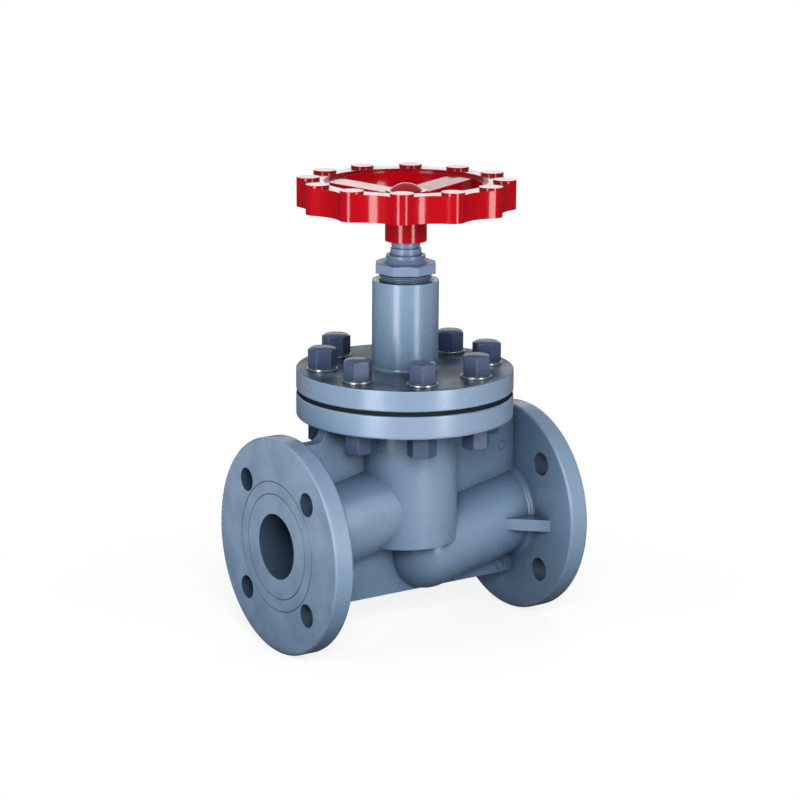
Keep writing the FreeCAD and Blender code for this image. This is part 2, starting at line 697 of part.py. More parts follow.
def make_stem():
    """The stem: button for the disc, thread, packed journal, square drive and threaded tip."""
    journal = "stem_dia / 2"
    top = "stem_top_dia / 2"
    shoulder = f"{DISC_TOP} + stem_shoulder_gap"
    thread_top = f"({THREAD_ROOF} - thread_headroom)"
    thread_low = f"{thread_top} - thread_length"
    groove_top = f"{HUB_BOTTOM} - stem_top_length"
    groove_low = f"{groove_top} - stem_groove_width"
    groove = f"{top} - stem_groove_depth"
    body = turned("stem", [
        ("0", BUTTON_BOTTOM), ("stem_button_dia / 2", BUTTON_BOTTOM), ("stem_button_dia / 2", BUTTON_TOP),
        ("stem_neck_dia / 2", BUTTON_TOP), ("stem_neck_dia / 2", shoulder), (journal, shoulder),
        (journal, thread_low), ("stem_thread_dia / 2", thread_low), ("stem_thread_dia / 2", thread_top),
        (journal, thread_top), (journal, groove_low), (groove, groove_low), (groove, groove_top),
        (top, groove_top), (top, HUB_BOTTOM), ("0", HUB_BOTTOM)])
    drive_length = f"(hub_length - {HUB_RECESS} - drive_relief)"
    sketch = new_sketch(body, "drive_plan", "XY_Plane", lift=HUB_BOTTOM)
    polygon(sketch, 4, "drive_square", turn="45 + wheel_turn")
    pad(body, "drive", sketch, drive_length)
    tip = new_sketch(body, "tip_plan", "XY_Plane", lift=f"{HUB_BOTTOM} + {drive_length}")
    circle(tip, "stem_tip_dia")
    pad(body, "tip", tip, "drive_relief + wheel_washer_thick + wheel_nut_thick + stem_tip_end")
    return body


def make_stem_oring():
    body = new_body("stem_oring")
    ring = body.newObject("PartDesign::AdditiveTorus", "oring")
    section = "oring_section / 2"
    bind(ring, Radius1=f"stem_dia / 2 + packing_gap + {section}", Radius2=f"{section} - oring_squeeze")
    place(ring, z=ORING_HEIGHT)
    doc.recompute()
    return body


def packing_part(label, bottom, height):
    """A ring that fills the packing space round the stem."""
    inner = "stem_dia / 2 + packing_gap"
    outer = "packing_dia / 2 - packing_gap"
    top = f"{bottom} + {height}"
    return turned(label, [(inner, bottom), (outer, bottom), (outer, top), (inner, top)])


def make_packing_ring(number):
    """One chevron packing ring; the lowest is flat below and the highest flat above."""
    inner = "stem_dia / 2 + packing_gap"
    outer = "packing_dia / 2 - packing_gap"
    middle = "(stem_dia + packing_dia) / 4"
    rise = "packing_ring_thick / 4"
    low = f"{PACKING_START} + {number} * packing_ring_thick"
    high = f"{low} + packing_ring_thick"
    corners = [(inner, low), (outer, low), (outer, high), (inner, high)]
    if number < PACKING_RINGS - 1:
        corners.insert(3, (middle, f"{high} + {rise}"))
    if number > 0:
        corners.insert(1, (middle, f"{low} + {rise}"))
    return turned(f"packing_ring_{number + 1}", corners)


def make_gland_nut():
    """The octagonal gland nut: male thread below, a plain neck, the octagon and a flared collar."""
    bore = "stem_dia / 2 + 2 * stem_gap"
    thread = "gland_thread_dia / 2"
    neck = f"{thread} - gland_thread_depth"
    flare = "collar_foot_dia / 2 - collar_flare"
    body = turned("gland_nut", [
        (bore, GLAND_END), (thread, GLAND_END), (thread, f"{TOWER_TOP} + gland_thread_depth"),
        (neck, f"{TOWER_TOP} + 2 * gland_thread_depth"), (neck, GLAND_BASE), (thread, GLAND_BASE),
        (thread, GLAND_TOP), ("collar_foot_dia / 2", GLAND_TOP), (flare, f"{GLAND_TOP} + collar_flare_rise"),
        ("collar_dia / 2", f"{COLLAR_TOP} - collar_lip"), ("collar_dia / 2", COLLAR_TOP), (bore, COLLAR_TOP)])
    sketch = new_sketch(body, "octagon_plan", "XY_Plane", lift=GLAND_BASE)
    polygon(sketch, 8, "gland_flats", turn="gland_turn + 22.5")
    circle(sketch, "gland_thread_dia - 2 * joining_depth")
    pad(body, "octagon", sketch, "gland_nut_thick")
    return body


def make_disc():
    """The disc: flat head with a lip round the seal, and a socket for the stem's button."""
    socket = "disc_socket_dia / 2"
    edge = f"{DISC_DIA} / 2"
    recess = f"{SEAL_DIA} / 2 + packing_gap"
    screw_bore = "screw_dia / 2 + packing_gap"
    lip = f"{SEAT} + seal_lip"
    screw_end = f"{SEAT} - plate_thick + screw_length + screw_end_gap"
    return turned("disc", [
        (screw_bore, DISC_HEAD), (recess, DISC_HEAD), (recess, lip), (edge, lip),
        (edge, f"{DISC_HEAD} + disc_thick / 2"), ("disc_hub_dia / 2", SOCKET_FLOOR),
        ("disc_hub_dia / 2", DISC_TOP), (socket, DISC_TOP), (socket, SOCKET_FLOOR), ("0", SOCKET_FLOOR),
        ("0", screw_end), (screw_bore, screw_end)])


def make_disc_seal():
    return turned("disc_seal", [
        ("seal_bore / 2", SEAT), (f"{SEAL_DIA} / 2", SEAT), (f"{SEAL_DIA} / 2", DISC_HEAD),
        ("seal_bore / 2", DISC_HEAD)])


def make_disc_seal_plate():
    """The plate under the seal, with a hub that fills the seal's bore."""
    bottom = f"{SEAT} - plate_thick"
    hub = "seal_bore / 2 - packing_gap"
    bore = "screw_dia / 2 + packing_gap"
    return turned("disc_seal_plate", [
        (bore, bottom), (f"{PLATE_DIA} / 2", bottom), (f"{PLATE_DIA} / 2", SEAT), (hub, SEAT),
        (hub, DISC_HEAD), (bore, DISC_HEAD)])


def make_disc_screw():
    seat = f"{SEAT} - plate_thick"
    top = f"{seat} + screw_length"
    head = f"{seat} - screw_head"
    return turned("disc_screw", [
        ("0", head), ("screw_head_dia / 2 - screw_chamfer", head),
        ("screw_head_dia / 2", f"{head} + screw_chamfer"), ("screw_head_dia / 2", seat),
        ("screw_dia / 2", seat), ("screw_dia / 2", top), ("0", top)])


def make_disc_nut():
    """The ring nut that keeps the stem's button in the disc's socket."""
    bore = "stem_neck_dia / 2 + neck_gap"
    outer = "disc_socket_dia / 2 - packing_gap"
    return turned("disc_nut", [
        (bore, DISC_NUT_BOTTOM), (outer, DISC_NUT_BOTTOM), (outer, DISC_TOP), (bore, DISC_TOP)])


def first_lobe(body, name, lift, length):
    """A round pad where the first grip lobe stands, half a step from the X axis."""
    half_step = f"{180 / LOBES}deg"
    sketch = new_sketch(body, f"{name}_plan", "XY_Plane", lift=lift)
    reach = f"{LOBE_CIRCLE} / 2"
    circle(sketch, "lobe_dia", f"{reach} * cos({half_step})", f"{reach} * sin({half_step})")
    lobe = pad(body, name, sketch, length)
    pattern(body, f"{name}s", [lobe], LOBES, (sketch, ["N_Axis"]))
    return sketch


def make_handwheel():
    """The handwheel: hub, hollow rim with twelve grip lobes, and three dished spokes."""
    body = new_body("handwheel")
    turned("rim", [
        ("rim_inner / 2", RIM_BOTTOM), ("rim_outer / 2", RIM_BOTTOM), ("rim_outer / 2", RIM_TOP),
        ("rim_inner / 2 + ledge_width", RIM_TOP), ("rim_inner / 2 + ledge_width", f"{RIM_TOP} - ledge_drop"),
        ("rim_inner / 2", f"{RIM_TOP} - ledge_drop")], body=body)
    first_lobe(body, "lobe", RIM_BOTTOM, "rim_height")
    reach = value("rim_outer") / 2
    soften(body, "scallops", "lobe_fillet",
           lambda edge: is_straight(edge, "Z", value("rim_height"))
           and abs(math.hypot(edge.CenterOfMass.x, edge.CenterOfMass.y) - reach) < 0.01)
    first_lobe(body, "pip", RIM_TOP, "lobe_rise")
    hollow = new_sketch(body, "hollow_plan", "XY_Plane", lift=RIM_BOTTOM)
    circle(hollow, "rim_outer - 2 * rim_wall")
    circle(hollow, "rim_inner + 2 * rim_wall")
    pad(body, "hollow", hollow, "rim_height - ledge_drop - rim_roof", cut=True, down=True)
    hub = "hub_dia / 2"
    turned("hub", [("0", HUB_BOTTOM), (hub, HUB_BOTTOM), (hub, HUB_TOP), ("0", HUB_TOP)], body=body)
    spoke_side = new_sketch(body, "spoke_side", "XZ_Plane")
    inner = "drive_square / 2"
    outer = "rim_inner / 2 + rim_wall / 2"
    high = f"{RIM_TOP} - ledge_drop"
    outline(spoke_side, [
        (inner, f"{high} - spoke_rise - spoke_depth"), (outer, f"{high} - spoke_depth"), (outer, high),
        (inner, f"{high} - spoke_rise")])
    spoke = pad(body, "spoke", spoke_side, "spoke_width", both_ways=True)
    pattern(body, "spokes", [spoke], SPOKES, (origin_part(body, "Z_Axis"), [""]))
    square = new_sketch(body, "square_plan", "XY_Plane", lift=HUB_BOTTOM)
    polygon(square, 4, "drive_square + 2 * packing_gap", turn="45")
    pad(body, "square_hole", square, "hub_length", cut=True, down=True)
    recess = new_sketch(body, "recess_plan", "XY_Plane", lift=HUB_TOP)
    circle(recess, "hub_recess_dia")
    pad(body, "recess", recess, HUB_RECESS, cut=True)
    place(body, angle="wheel_turn")
    return body


def make_wheel_washer():
    bottom = f"{HUB_TOP} - {HUB_RECESS}"
    top = f"{bottom} + wheel_washer_thick"
    bore = "stem_tip_dia / 2 + packing_gap"
    outer = "hub_recess_dia / 2 - 2 * packing_gap"
    return turned("wheel_washer", [(bore, bottom), (outer, bottom), (outer, top), (bore, top)])


def make_wheel_nut():
    body = new_body("wheel_nut")
    seat = f"{HUB_TOP} - {HUB_RECESS} + wheel_washer_thick"
    sketch = new_sketch(body, "wheel_nut_plan", "XY_Plane", lift=seat)
    polygon(sketch, 6, "nut_flats")
    circle(sketch, "stem_tip_dia + 2 * nut_gap")
    pad(body, "wheel_nut_hexagon", sketch, "wheel_nut_thick")
    return body


def make_wheel_cap():
    """The domed cap in the hub's recess: a skirt, and a ball cut off flat on the hub's top."""
    body = new_body("wheel_cap")
    edge = "(wheel_cap_dia / 2)"
    ball_dia = f"(({edge} ^ 2 + wheel_cap_rise ^ 2) / wheel_cap_rise)"
    top = f"({HUB_TOP} + wheel_cap_rise)"
    skirt = "(hub_recess_dia / 2 - packing_gap)"
    ball(body, "dome", ball_dia, z=f"{top} - {ball_dia} / 2")
    spare = new_sketch(body, "spare_plan", "XY_Plane", lift=HUB_TOP)
    circle(spare, ball_dia)
    pad(body, "spare_ball", spare, ball_dia, cut=True)
    foot = new_sketch(body, "skirt_plan", "XY_Plane", lift=HUB_TOP)
    circle(foot, f"2 * {skirt}")
    pad(body, "skirt", foot, "wheel_cap_skirt", down=True)
    return body


pieces = [
    make_valve_body(),
    make_bonnet(),
    make_bonnet_gasket(),
    make_bonnet_studs(),
    make_stud_washers("stud_washers_upper", COVER_TOP),
    make_stud_washers("stud_washers_lower", LOWER_SEAT),
    make_stud_nuts("stud_nuts_upper", UPPER_SEAT),
    make_stud_nuts("stud_nuts_lower", f"{LOWER_SEAT} - nut_thick"),
    make_nut_caps("nut_caps_upper", UPPER_SEAT, up=True),
    make_nut_caps("nut_caps_lower", LOWER_SEAT, up=False),
    make_stem(),
    make_stem_oring(),
    packing_part("packing_washer", PACKING_FLOOR, "packing_washer_thick"),
    *[make_packing_ring(number) for number in range(PACKING_RINGS)],
    packing_part("gland_follower", FOLLOWER_START, "follower_length"),
    make_gland_nut(),
    make_disc(),
    make_disc_seal(),
    make_disc_seal_plate(),
    make_disc_screw(),
    make_disc_nut(),
    make_handwheel(),
    make_wheel_washer(),
    make_wheel_nut(),
    make_wheel_cap(),
]
doc.recompute()

for thing in doc.Objects:
    if "Invalid" in thing.State or "Error" in thing.State:
        raise SystemExit(f"{thing.Name} did not build: {thing.State}")
for piece in pieces:
    if piece.Shape.isNull() or not piece.Shape.isValid() or not piece.Shape.Solids:
        raise SystemExit(f"{piece.Label} has no valid solid")

os.makedirs("parts", exist_ok=True)
for piece in pieces:
    piece.Shape.exportStep(f"parts/{piece.Label}.step")
    print(f"{piece.Label}: {len(piece.Shape.Solids)} solids, {piece.Shape.Volume / 1000:.2f} cm3")
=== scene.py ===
import math

import bmesh
import bpy
from mathutils import Matrix, Vector


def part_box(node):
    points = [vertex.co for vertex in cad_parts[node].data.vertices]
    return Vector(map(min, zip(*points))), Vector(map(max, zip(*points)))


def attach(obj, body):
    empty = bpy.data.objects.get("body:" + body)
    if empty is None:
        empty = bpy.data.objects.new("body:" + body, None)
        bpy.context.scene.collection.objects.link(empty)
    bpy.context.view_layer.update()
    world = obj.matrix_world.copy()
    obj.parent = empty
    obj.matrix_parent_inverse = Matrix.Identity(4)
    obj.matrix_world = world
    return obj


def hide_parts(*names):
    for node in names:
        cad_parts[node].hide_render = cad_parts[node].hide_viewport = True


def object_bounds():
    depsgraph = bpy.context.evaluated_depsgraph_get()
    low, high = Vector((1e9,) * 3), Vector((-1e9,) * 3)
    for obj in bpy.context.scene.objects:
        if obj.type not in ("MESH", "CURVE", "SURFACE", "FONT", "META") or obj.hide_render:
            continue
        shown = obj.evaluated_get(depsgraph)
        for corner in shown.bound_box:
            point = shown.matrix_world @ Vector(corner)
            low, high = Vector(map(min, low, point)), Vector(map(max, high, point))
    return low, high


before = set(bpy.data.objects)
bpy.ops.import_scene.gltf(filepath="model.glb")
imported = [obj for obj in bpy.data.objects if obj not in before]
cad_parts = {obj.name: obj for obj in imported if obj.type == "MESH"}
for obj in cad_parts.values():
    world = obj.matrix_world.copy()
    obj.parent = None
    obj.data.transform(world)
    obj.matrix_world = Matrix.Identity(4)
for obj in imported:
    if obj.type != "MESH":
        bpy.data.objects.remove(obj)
cad_low, cad_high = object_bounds()
scene = bpy.context.scene

# Camera. It stands 1.9 m off with a long lens, higher than the handwheel and on the outlet side, where the
# photograph of the valve was taken from.
photo_yaw = math.radians(34.163)
photo_pitch = math.radians(13.523)
photo_roll = math.radians(0.394)
camera_data = bpy.data.cameras.new("photo_camera")
camera_data.lens = 115.34
camera = bpy.data.objects.new("photo_camera", camera_data)
camera.location = (-1.0675, -1.5666, 0.6361)
camera.rotation_euler = (
    Matrix.Rotation(-photo_yaw, 3, "Z")
    @ Matrix.Rotation(math.pi / 2 - photo_pitch, 3, "X")
    @ Matrix.Rotation(photo_roll, 3, "Z")
).to_euler()
scene.collection.objects.link(camera)
scene.camera = camera

# Studio. Four soft lamps light the valve: one faces the near end flange from the left, and the others stand
# in front, on the right and behind. Two upright strips draw the bright lines down the tower, and a panel
# behind whitens the flat tops of the wheel; these three show in gloss alone.
scene.view_settings.view_transform = "Standard"
camera_side = math.atan2(camera.location.y, camera.location.x)
body_middle, strip_middle, panel_middle = 0.15, 0.44, 0.66


def softbox(name, turn, distance, height, aim_height, size, radiance, shading=True, gloss=True):
    """A flat lamp at an angle in degrees from the camera's side, aimed at a height on the stem axis."""
    azimuth = camera_side + math.radians(turn)
    place = Vector((distance * math.cos(azimuth), distance * math.sin(azimuth), height))
    lamp = bpy.data.lights.new(name, "AREA")
    lamp.shape = "RECTANGLE"
    lamp.size, lamp.size_y = size
    lamp.energy = radiance * math.pi * size[0] * size[1]
    holder = bpy.data.objects.new(name, lamp)
    holder.location = place
    holder.rotation_euler = (Vector((0, 0, aim_height)) - place).to_track_quat("-Z", "Y").to_euler()
    holder.visible_diffuse = shading
    holder.visible_glossy = gloss
    scene.collection.objects.link(holder)


softbox("left_key", turn=-56, distance=1.3, height=0.36, aim_height=body_middle,
        size=(0.4, 0.5), radiance=13.0, gloss=False)
softbox("front_key", turn=2, distance=1.25, height=0.72, aim_height=body_middle,
        size=(0.45, 0.45), radiance=31.5, gloss=False)
softbox("right_key", turn=46, distance=1.3, height=0.6, aim_height=body_middle,
        size=(0.4, 0.6), radiance=7.5, gloss=False)
softbox("back_fill", turn=168, distance=1.4, height=0.8, aim_height=body_middle,
        size=(0.8, 0.6), radiance=6.0, gloss=False)
softbox("left_strip", turn=-30, distance=0.65, height=strip_middle, aim_height=strip_middle,
        size=(0.21, 0.84), radiance=6.5, shading=False)
softbox("right_strip", turn=40, distance=0.65, height=strip_middle, aim_height=strip_middle,
        size=(0.15, 0.84), radiance=6.5, shading=False)
softbox("back_panel", turn=180, distance=1.4, height=panel_middle, aim_height=panel_middle,
        size=(2.2, 0.32), radiance=1.4, shading=False)


def feed(material, node, **given):
    """Fills a node's inputs: a socket is linked, and anything else is set as a value."""
    for name, source in given.items():
        number = name[1:]
        socket = node.inputs[int(number)] if number.isdigit() else node.inputs[name.replace("_", " ")]
        if isinstance(source, bpy.types.NodeSocket):
            material.node_tree.links.new(source, socket)
        else:
            socket.default_value = source


def add_node(material, kind, settings, **given):
    """One shader node with its settings and its inputs, which go by name or as _0, _1 and on by number."""
    node = material.node_tree.nodes.new("ShaderNode" + kind)
    for name, setting in settings.items():
        setattr(node, name, setting)
    feed(material, node, **given)
    return node


room = bpy.data.worlds.new("white_room")
scene.world = room
room.use_nodes = True
room_light = room.node_tree.nodes["Background"]
feed(room, room_light, Color=(0.85, 0.93, 1, 1), Strength=0.35)
room_white = add_node(room, "Background", {}, Color=(1, 1, 1, 1), Strength=1.0)
room_seen = add_node(room, "LightPath", {}).outputs["Is Camera Ray"]
room_mix = add_node(room, "MixShader", {}, _0=room_seen, _1=room_light.outputs["Background"],
                    _2=room_white.outputs["Background"])
feed(room, room.node_tree.nodes["World Output"], Surface=room_mix.outputs["Shader"])


# Floor. A sheet of white paper that holds the shadow near the valve, and burns out to pure white
# further off, as an overexposed backdrop does.
def maths(material, operation, first, second=0.0, third=0.0):
    node = add_node(material, "Math", {"operation": operation}, _0=first, _1=second, _2=third)
    return node.outputs[0]


def between(material, share, low, high):
    """A value that runs from low to high as the share runs from 0 to 1."""
    return maths(material, "MULTIPLY_ADD", share, high - low, low)


def vectors(material, operation, first, second=(0, 0, 0)):
    """Vector arithmetic; a length, a distance or a dot product comes out as a number."""
    node = add_node(material, "VectorMath", {"operation": operation}, _0=first, _1=second)
    return node.outputs["Value" if operation in ("LENGTH", "DISTANCE", "DOT_PRODUCT") else "Vector"]


def object_place(material):
    return add_node(material, "TexCoord", {}).outputs["Object"]


def new_material(name):
    material = bpy.data.materials.new(name)
    material.use_nodes = True
    return material, material.node_tree.nodes["Principled BSDF"]


floor_half = 8.0
paper, paper_shader = new_material("white_paper")
paper_rays = add_node(paper, "LightPath", {})
paper_tone = between(paper, paper_rays.outputs["Is Glossy Ray"], 0.9, 0.1)
feed(paper, paper_shader, Base_Color=paper_tone, Roughness=0.9, Specular_IOR_Level=0.1)
white_share = add_node(paper, "MapRange", {"interpolation_type": "SMOOTHSTEP"},
                       Value=vectors(paper, "LENGTH", object_place(paper)),
                       From_Min=0.12, From_Max=0.38, To_Min=0.8, To_Max=1.0).outputs["Result"]
white_out = maths(paper, "MULTIPLY", paper_rays.outputs["Is Camera Ray"], white_share)
glow = add_node(paper, "Emission", {}, Color=(1, 1, 1, 1), Strength=1.0).outputs["Emission"]
paper_mix = add_node(paper, "MixShader", {}, _0=white_out, _1=paper_shader.outputs["BSDF"], _2=glow)
feed(paper, paper.node_tree.nodes["Material Output"], Surface=paper_mix.outputs["Shader"])
floor_sheet = bmesh.new()
bmesh.ops.create_grid(floor_sheet, x_segments=1, y_segments=1, size=floor_half)
floor_mesh = bpy.data.meshes.new("floor")
floor_sheet.to_mesh(floor_mesh)
floor_sheet.free()
floor_mesh.materials.append(paper)
floor = bpy.data.objects.new("floor", floor_mesh)
scene.collection.objects.link(floor)


# Body. One moulding in grey-blue rigid PVC: two end flanges, two sloping legs, the chamber and its webs.
# Its skin is satin with a faint orange peel, and only the end faces are turned on a lathe.
def noise(material, place, scale, detail, rough=0.5):
    """Cloudy noise from 0 to 1, with about as many lumps in a metre as its scale."""
    return add_node(material, "TexNoise", {}, Vector=place, Scale=scale, Detail=detail,
                    Roughness=rough).outputs["Fac"]


def openness_for_shade(material, distance):
    """1 where a surface is open, and less in corners and hollows within a distance of others; it sets painted
    shade.
    """
    return add_node(material, "AmbientOcclusion", {"samples": 8}, Distance=distance).outputs["AO"]


def times(material, first, *others):
    for other in others:
        first = maths(material, "MULTIPLY", first, other)
    return first


def tinted(material, colour, shade):
    return add_node(material, "VectorMath", {"operation": "SCALE"}, _0=colour, Scale=shade).outputs["Vector"]


def mix(material, share, low, high):
    return add_node(material, "Mix", {"data_type": "FLOAT"}, _0=share, _2=low, _3=high).outputs[0]


def coordinate(material, vector, letter):
    return add_node(material, "SeparateXYZ", {}, Vector=vector).outputs[letter]


def plastic(name, colour, roughness, soft_edge=0.0008, lustre=0.7, turned=None):
    """Moulded plastic: cloudy colour, painted shade darker and bluer in hollows, patchy gloss, fine orange
    peel, pale edges.

    The faces that "turned" picks out are darker, with fine rings left by the lathe about one axis.
    """
    material, shader = new_material(name)
    place = object_place(material)
    clouds = noise(material, place, scale=22.0, detail=4.0)
    specks = noise(material, place, scale=1600.0, detail=2.0)
    shade = times(material, between(material, clouds, 0.89, 1.11), between(material, specks, 0.95, 1.05))
    # Painted shade: the colour darkens in near corners and in wider hollows, and turns bluer (in_shade) where
    # it is darkest.
    for distance, left_over in ((0.01, 0.4), (0.12, 0.18)):
        open_air = openness_for_shade(material, distance)
        shade = times(material, shade, between(material, open_air, left_over, 1.0))
    in_shade = [part * tone for part, tone in zip(colour, (0.76, 1.02, 1.24))]
    hue = add_node(material, "Mix", {"data_type": "VECTOR"}, _0=open_air, _4=in_shade, _5=colour).outputs[1]
    true_normal = add_node(material, "NewGeometry", {}).outputs["Normal"]
    rounded = add_node(material, "Bevel", {"samples": 8}, Radius=soft_edge).outputs["Normal"]
    # Pale edges: partly wear, and partly a painted highlight along every rounded edge.
    worn_and_lit_edges = add_node(material, "MapRange", {}, Value=vectors(material, "DOT_PRODUCT", true_normal, rounded),
                      From_Min=0.97, From_Max=0.85).outputs["Result"]
    shade = times(material, shade, between(material, worn_and_lit_edges, 1.0, 1.3))
    patches = noise(material, place, scale=60.0, detail=3.0)
    gloss = between(material, patches, roughness - 0.08, roughness + 0.08)
    skin = noise(material, place, scale=800.0, detail=3.0)
    if turned:
        shade, gloss, skin, lustre = turned(material, place, true_normal, (shade, gloss, skin, lustre))
    bump = add_node(material, "Bump", {}, Height=skin, Strength=0.03, Distance=0.001, Normal=rounded)
    feed(material, shader, Base_Color=tinted(material, hue, shade), Roughness=gloss,
         Specular_IOR_Level=lustre, Normal=bump.outputs["Normal"])
    return material


def paint(node, material):
    """Gives a carried-over part its material, in every slot that it has."""
    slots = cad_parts[node].data.materials
    for number in range(max(1, len(slots))):
        if number < len(slots):
            slots[number] = material
        else:
            slots.append(material)


def rings_on(material, axis_place, spacing):
    """Fine uneven rings about the Z axis of a place, as a lathe tool leaves them, and the reach from it."""
    reach = vectors(material, "LENGTH", vectors(material, "MULTIPLY", axis_place, (1, 1, 0)))
    ring_place = add_node(material, "CombineXYZ", {}, X=maths(material, "DIVIDE", reach, spacing))
    return reach, noise(material, ring_place.outputs["Vector"], scale=1.0, detail=3.0)


flow_height = 0.0825
end_reach = cad_high[0]
face_depth = 0.0006
groove_radii = (0.040, 0.0495)
line_half = 0.0004
flange_inside = 0.0935
bore_reach = 0.0285
bolt_offset = 0.060 * math.sin(math.pi / 4)
bolt_reach = 0.0092
pin_across, pin_heights, pin_radius = 0.088, (0.1337, 0.0364), 0.0034


def faced_ends(material, place, normal, moulded):
    """The two end faces: faint lathe rings, stains, and painted shade in the two grooves.

    On the skin, painted shade darkens the bore and the bolt holes, and draws a thin ring round each mould pin
    mark on the webs.
    """
    shade, gloss, skin, lustre = moulded
    moved = vectors(material, "SUBTRACT", place, (0, 0, flow_height))
    axis_place = add_node(material, "VectorRotate", {"rotation_type": "Y_AXIS"},
                          Vector=moved, Angle=math.pi / 2).outputs["Vector"]
    reach, rings = rings_on(material, axis_place, spacing=0.0004)
    from_middle = maths(material, "ABSOLUTE", coordinate(material, place, "X"))
    outer = maths(material, "GREATER_THAN", from_middle, end_reach - face_depth)
    # Painted shade in the two grooves.
    groove_shade = 0.0
    for groove in groove_radii:
        groove_shade = maths(material, "ADD", groove_shade, maths(material, "COMPARE", reach, groove, line_half))
    stains = noise(material, place, scale=45.0, detail=6.0, rough=0.7)
    stained = add_node(material, "MapRange", {}, Value=stains, From_Min=0.35, From_Max=0.6,
                       To_Min=0.8, To_Max=1.02).outputs["Result"]
    face_shade = times(material, shade, stained, between(material, groove_shade, 0.94, 0.54),
                       between(material, rings, 0.94, 1.06))
    # Painted shade inside the bore and the bolt holes.
    sideways = vectors(material, "MULTIPLY", moved, (0, 1, 1))
    faces_axis = maths(material, "LESS_THAN", vectors(material, "DOT_PRODUCT", sideways, normal), -0.01)
    in_bore = times(material, faces_axis, maths(material, "LESS_THAN", reach, bore_reach))
    folded = vectors(material, "MULTIPLY", vectors(material, "ABSOLUTE", axis_place), (1, 1, 0))
    from_bolt = vectors(material, "DISTANCE", folded, (bolt_offset, bolt_offset, 0))
    in_bolt = times(material, maths(material, "GREATER_THAN", from_middle, flange_inside),
                    maths(material, "LESS_THAN", from_bolt, bolt_reach))
    hole_shade_mask = maths(material, "MAXIMUM", in_bolt, in_bore)
    shade = times(material, shade, between(material, hole_shade_mask, 1.0, 0.4))
    # A thin ring of painted shade outlines each mould pin mark on the webs.
    web_place = vectors(material, "MULTIPLY", place, (1, 0, 1))
    for height in pin_heights:
        from_pin = vectors(material, "DISTANCE", web_place, (pin_across, 0, height))
        edge = maths(material, "COMPARE", from_pin, pin_radius, line_half)
        shade = times(material, shade, between(material, edge, 1.0, 0.6))
    return (mix(material, outer, shade, face_shade),
            mix(material, outer, gloss, between(material, rings, 0.34, 0.54)),
            mix(material, outer, skin, rings),
            mix(material, outer, lustre, 0.4))


body_plastic = plastic("grey_blue_plastic", (0.147, 0.206, 0.284), 0.29, turned=faced_ends)
paint("valve_body", body_plastic)

# Bonnet. The cover flange and its tower are one moulding in the same plastic. The flat top of the cover is
# turned, which leaves it browner and less glossy than the skin; its colour is painted darker in smears that
# stand partly for the turned finish and partly for painted shade.
cover_height, level_half = 0.2065, 0.0012


def faced_cover(material, place, normal, moulded):
    """The top of the cover flange: dark smears, partly turned finish and partly painted shade, with broken
    lathe rings.
    """
    shade, gloss, skin, lustre = moulded
    rings = rings_on(material, place, spacing=0.0006)[1]
    upward = maths(material, "GREATER_THAN", coordinate(material, normal, "Z"), 0.6)
    level = maths(material, "COMPARE", coordinate(material, place, "Z"), cover_height, level_half)
    top = times(material, upward, level)
    # Dark smears on the top: partly the turned finish, partly painted shade.
    smears_and_shade = noise(material, place, scale=30.0, detail=5.0)
    top_shade = times(material, shade, between(material, smears_and_shade, -0.82, 1.68),
                      between(material, rings, 0.85, 1.15))
    return (mix(material, top, shade, top_shade),
            mix(material, top, gloss, between(material, rings, 0.25, 0.5)),
            mix(material, top, skin, rings),
            mix(material, top, lustre, 0.2))


cover_plastic = plastic("bonnet_plastic", (0.142, 0.201, 0.277), 0.26, turned=faced_cover)
paint("bonnet", cover_plastic)


# Gasket and seals. A full-face ring of black rubber lies between the two flanges, and the O-ring of the stem
# guide and the seal of the disc are black rubber too. The packing under the gland nut is white PTFE.
def rubber(name, colour, roughness):
    """Matt rubber or PTFE, with a fine grain in its colour and its skin."""
    material, shader = new_material(name)
    grain = noise(material, object_place(material), scale=900.0, detail=4.0)
    bump = add_node(material, "Bump", {}, Height=grain, Strength=0.2, Distance=0.0005)
    feed(material, shader, Base_Color=tinted(material, colour, between(material, grain, 0.75, 1.25)),
         Roughness=roughness, Specular_IOR_Level=0.15, Normal=bump.outputs["Normal"])
    return material


black_rubber = rubber("black_rubber", (0.006, 0.006, 0.007), 0.7)
for node in ("bonnet_gasket", "stem_oring", "disc_seal"):
    paint(node, black_rubber)
packing_white = rubber("packing_white", (0.8, 0.8, 0.77), 0.45)
for node in ("packing_ring_1", "packing_ring_2", "packing_ring_3", "packing_washer", "gland_follower"):
    paint(node, packing_white)


# Studs, nuts and washers. Eight stainless steel studs clamp the two flanges, with a nut and a washer at each
# end. Only the washers show, as bright rings under the plastic caps.
def steel(name, colour, roughness):
    """Plain steel with fine scratches in its colour and its gloss."""
    material, shader = new_material(name)
    scratches = noise(material, object_place(material), scale=700.0, detail=5.0)
    feed(material, shader, Base_Color=tinted(material, colour, between(material, scratches, 0.9, 1.1)),
         Metallic=1.0, Roughness=between(material, scratches, roughness - 0.1, roughness + 0.1))
    return material


bright_steel = steel("bright_steel", (0.62, 0.63, 0.65), 0.3)
for node in ("bonnet_studs", "stud_nuts_upper", "stud_nuts_lower", "wheel_washer", "wheel_nut", "disc_screw"):
    paint(node, bright_steel)


def turn_profile(corners, steps=96):
    """A closed ring turned about the stem axis from pairs of radius and height."""
    shape = bmesh.new()
    points = [shape.verts.new((radius, 0, height)) for radius, height in corners]
    sides = [shape.edges.new(pair) for pair in zip(points, points[1:] + points[:1])]
    bmesh.ops.spin(shape, geom=points + sides, cent=(0, 0, 0), axis=(0, 0, 1), dvec=(0, 0, 0),
                   angle=math.tau, steps=steps, use_merge=True, use_duplicate=False)
    bmesh.ops.remove_doubles(shape, verts=shape.verts, dist=1e-6)
    bmesh.ops.recalc_face_normals(shape, faces=shape.faces)
    return shape


